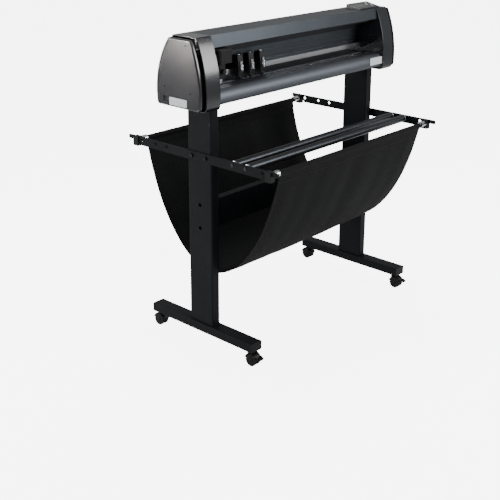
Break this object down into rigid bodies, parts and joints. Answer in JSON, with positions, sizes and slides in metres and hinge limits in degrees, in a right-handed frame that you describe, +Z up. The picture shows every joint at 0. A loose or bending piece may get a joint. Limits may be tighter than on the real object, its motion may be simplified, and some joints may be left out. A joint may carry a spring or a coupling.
{
  "type": "vinyl cutter",
  "caption": "Sheet-vinyl cutter on a wheeled stand: roller-fed table, sliding blade carriage, lifting pinch rollers and a hanging cloth catch basket.",
  "frame": {"origin": "on the floor, under the middle of the machine", "axes": "+X along the machine towards the end with the control panel, -Y towards the operator, +Z up"},
  "size_m": [1.05, 0.68, 1.0936],
  "materials": {
    "black_steel": "fine-textured satin powder coat",
    "black_plastic": "moulded, fine grain",
    "cover_plastic": "moulded ABS, satin gloss",
    "key_plastic": "moulded, satin",
    "anodised": "dark anodised extrusion",
    "bright_steel": "ground and polished",
    "chrome_rod": "bright plated",
    "roller_tube": "dark anodised tube",
    "tyre": "moulded rubber",
    "cloth": "plain woven polyester",
    "strip": "smooth white strip",
    "holder_metal": "turned, satin",
    "gear_plastic": "moulded acetal",
    "brass_pinion": "turned",
    "motor_can": "satin",
    "board": "solder-masked board"
  },
  "bodies": {
    "root": {"left_foot_bar": "black_steel", "right_foot_bar": "black_steel", "foot_end_caps": "black_plastic", "left_column": "black_steel", "right_column": "black_steel", "cross_beam": "black_steel", "stand_bolts": "bright_steel", "left_arm": "black_steel", "right_arm": "black_steel", "rod_brackets": "black_plastic", "basket_rods": "chrome_rod", "basket_fabric": "cloth", "left_side_cap": "cover_plastic", "right_side_cap": "cover_plastic", "left_end_hood": "cover_plastic", "right_end_hood": "cover_plastic", "top_beam": "anodised", "platen": "anodised", "cutting_strip": "strip", "chassis": "black_steel", "guide_rail": "bright_steel", "drive_belt": "tyre", "stepper_motors": "motor_can", "control_panel": "cover_plastic", "control_board": "board"},
    "front_roller": {"front_media_roller": "roller_tube"},
    "rear_roller": {"rear_media_roller": "roller_tube"},
    "carriage": {"carriage_frame": "black_plastic", "carriage_cover": "black_plastic"},
    "tool": {"tool_slide": "black_plastic", "blade_holder": "holder_metal"},
    "tool_clamp": {"clamp_knob": "black_plastic"},
    "idler": {"idler_pulley": "holder_metal"},
    "carriage_motor": {"motor_pulley": "holder_metal"},
    "feed_shaft": {"drive_shaft": "bright_steel", "shaft_gear": "gear_plastic"},
    "feed_motor": {"motor_gear": "brass_pinion"},
    "lift": {"lift_shaft": "bright_steel", "lift_lever": "black_plastic"},
    "switch": {"power_switch": "black_plastic"},
    "caster_fl": {"caster_hood_fl": "black_plastic"},
    "wheels_fl": {"caster_wheels_fl": "tyre"},
    "brake_fl": {"brake_lever_fl": "black_plastic"},
    "caster_fr": {"caster_hood_fr": "black_plastic"},
    "wheels_fr": {"caster_wheels_fr": "tyre"},
    "brake_fr": {"brake_lever_fr": "black_plastic"},
    "caster_rl": {"caster_hood_rl": "black_plastic"},
    "wheels_rl": {"caster_wheels_rl": "tyre"},
    "caster_rr": {"caster_hood_rr": "black_plastic"},
    "wheels_rr": {"caster_wheels_rr": "tyre"},
    "pinch_1": {"pinch_arm_1": "black_plastic"},
    "pinch_wheel_1": {"pinch_roller_1": "tyre"},
    "pinch_2": {"pinch_arm_2": "black_plastic"},
    "pinch_wheel_2": {"pinch_roller_2": "tyre"},
    "pinch_3": {"pinch_arm_3": "black_plastic"},
    "pinch_wheel_3": {"pinch_roller_3": "tyre"},
    "key_left": {"jog_key_left": "key_plastic"},
    "key_right": {"jog_key_right": "key_plastic"},
    "key_back": {"jog_key_back": "key_plastic"},
    "key_front": {"jog_key_front": "key_plastic"}
  },
  "joints": [
    {"name": "caster_fl_swivel", "type": "hinge", "parent": "root", "child": "caster_fl", "pos_m": [-0.42, -0.208, 0.05], "axis": [0, 0, 1], "continuous": true},
    {"name": "wheels_fl_roll", "type": "hinge", "parent": "caster_fl", "child": "wheels_fl", "pos_m": [-0.42, -0.222, 0.021], "axis": [1, 0, 0], "continuous": true},
    {"name": "brake_fl_press", "type": "hinge", "parent": "caster_fl", "child": "brake_fl", "pos_m": [-0.42, -0.2502, 0.0345], "axis": [1, 0, 0], "range_deg": [0, 16]},
    {"name": "caster_fr_swivel", "type": "hinge", "parent": "root", "child": "caster_fr", "pos_m": [0.42, -0.208, 0.05], "axis": [0, 0, 1], "continuous": true},
    {"name": "wheels_fr_roll", "type": "hinge", "parent": "caster_fr", "child": "wheels_fr", "pos_m": [0.42, -0.222, 0.021], "axis": [1, 0, 0], "continuous": true},
    {"name": "brake_fr_press", "type": "hinge", "parent": "caster_fr", "child": "brake_fr", "pos_m": [0.42, -0.2502, 0.0345], "axis": [1, 0, 0], "range_deg": [0, 16]},
    {"name": "caster_rl_swivel", "type": "hinge", "parent": "root", "child": "caster_rl", "pos_m": [-0.42, 0.208, 0.05], "axis": [0, 0, 1], "continuous": true},
    {"name": "wheels_rl_roll", "type": "hinge", "parent": "caster_rl", "child": "wheels_rl", "pos_m": [-0.42, 0.222, 0.021], "axis": [1, 0, 0], "continuous": true},
    {"name": "caster_rr_swivel", "type": "hinge", "parent": "root", "child": "caster_rr", "pos_m": [0.42, 0.208, 0.05], "axis": [0, 0, 1], "continuous": true},
    {"name": "wheels_rr_roll", "type": "hinge", "parent": "caster_rr", "child": "wheels_rr", "pos_m": [0.42, 0.222, 0.021], "axis": [1, 0, 0], "continuous": true},
    {"name": "rear_roller_spin", "type": "hinge", "parent": "root", "child": "rear_roller", "pos_m": [0, -0.15, 0.68], "axis": [1, 0, 0], "continuous": true},
    {"name": "front_roller_spin", "type": "hinge", "parent": "root", "child": "front_roller", "pos_m": [0, -0.205, 0.68], "axis": [1, 0, 0], "continuous": true},
    {"name": "carriage_slide", "type": "slide", "parent": "root", "child": "carriage", "axis": [1, 0, 0], "range_m": [0, 0.79]},
    {"name": "tool_drop", "type": "slide", "parent": "carriage", "child": "tool", "axis": [0, 0, 1], "range_m": [-0.003, 0]},
    {"name": "clamp_turn", "type": "hinge", "parent": "tool", "child": "tool_clamp", "pos_m": [-0.405, -0.08, 0.961], "axis": [0, -1, 0], "range_deg": [0, 270]},
    {"name": "idler_spin", "type": "hinge", "parent": "root", "child": "idler", "pos_m": [-0.472, -0.022, 1.028], "axis": [0, 0, 1], "range_deg": [-10, 4540]},
    {"name": "carriage_motor_spin", "type": "hinge", "parent": "root", "child": "carriage_motor", "pos_m": [0.472, -0.022, 1.028], "axis": [0, 0, 1], "range_deg": [-10, 4540]},
    {"name": "feed_spin", "type": "hinge", "parent": "root", "child": "feed_shaft", "pos_m": [0, -0.026, 0.9], "axis": [1, 0, 0], "continuous": true},
    {"name": "feed_motor_spin", "type": "hinge", "parent": "root", "child": "feed_motor", "pos_m": [0.456, 0.014, 0.9], "axis": [1, 0, 0], "continuous": true},
    {"name": "lift_turn", "type": "hinge", "parent": "root", "child": "lift", "pos_m": [0, 0, 0.938], "axis": [1, 0, 0], "range_deg": [-15, 0]},
    {"name": "pinch_1_slide", "type": "slide", "parent": "lift", "child": "pinch_1", "axis": [1, 0, 0], "range_m": [-0.145, 0.014]},
    {"name": "pinch_wheel_1_spin", "type": "hinge", "parent": "pinch_1", "child": "pinch_wheel_1", "pos_m": [-0.275, -0.026, 0.9186], "axis": [1, 0, 0], "continuous": true},
    {"name": "pinch_2_slide", "type": "slide", "parent": "lift", "child": "pinch_2", "axis": [1, 0, 0], "range_m": [-0.014, 0.0145]},
    {"name": "pinch_wheel_2_spin", "type": "hinge", "parent": "pinch_2", "child": "pinch_wheel_2", "pos_m": [-0.222, -0.026, 0.9186], "axis": [1, 0, 0], "continuous": true},
    {"name": "pinch_3_slide", "type": "slide", "parent": "lift", "child": "pinch_3", "axis": [1, 0, 0], "range_m": [-0.0145, 0.575]},
    {"name": "pinch_wheel_3_spin", "type": "hinge", "parent": "pinch_3", "child": "pinch_wheel_3", "pos_m": [-0.168, -0.026, 0.9186], "axis": [1, 0, 0], "continuous": true},
    {"name": "key_left_press", "type": "slide", "parent": "root", "child": "key_left", "axis": [0, 0.1991, -0.98], "range_m": [-0.0012, 0], "stiffness_N_per_m": 400},
    {"name": "key_right_press", "type": "slide", "parent": "root", "child": "key_right", "axis": [0, 0.1991, -0.98], "range_m": [-0.0012, 0], "stiffness_N_per_m": 400},
    {"name": "key_back_press", "type": "slide", "parent": "root", "child": "key_back", "axis": [0, 0.1991, -0.98], "range_m": [-0.0012, 0], "stiffness_N_per_m": 400},
    {"name": "key_front_press", "type": "slide", "parent": "root", "child": "key_front", "axis": [0, 0.1991, -0.98], "range_m": [-0.0012, 0], "stiffness_N_per_m": 400},
    {"name": "switch_rock", "type": "hinge", "parent": "root", "child": "switch", "pos_m": [-0.5185, 0.061, 0.876], "axis": [0, 1, 0], "range_deg": [-7, 7]}
  ],
  "couplings": [
    {"joint": "idler_spin", "follows": "carriage_slide", "rad_per_m": 100},
    {"joint": "carriage_motor_spin", "follows": "carriage_slide", "rad_per_m": 100},
    {"joint": "feed_motor_spin", "follows": "feed_spin", "ratio": -3}
  ]
}
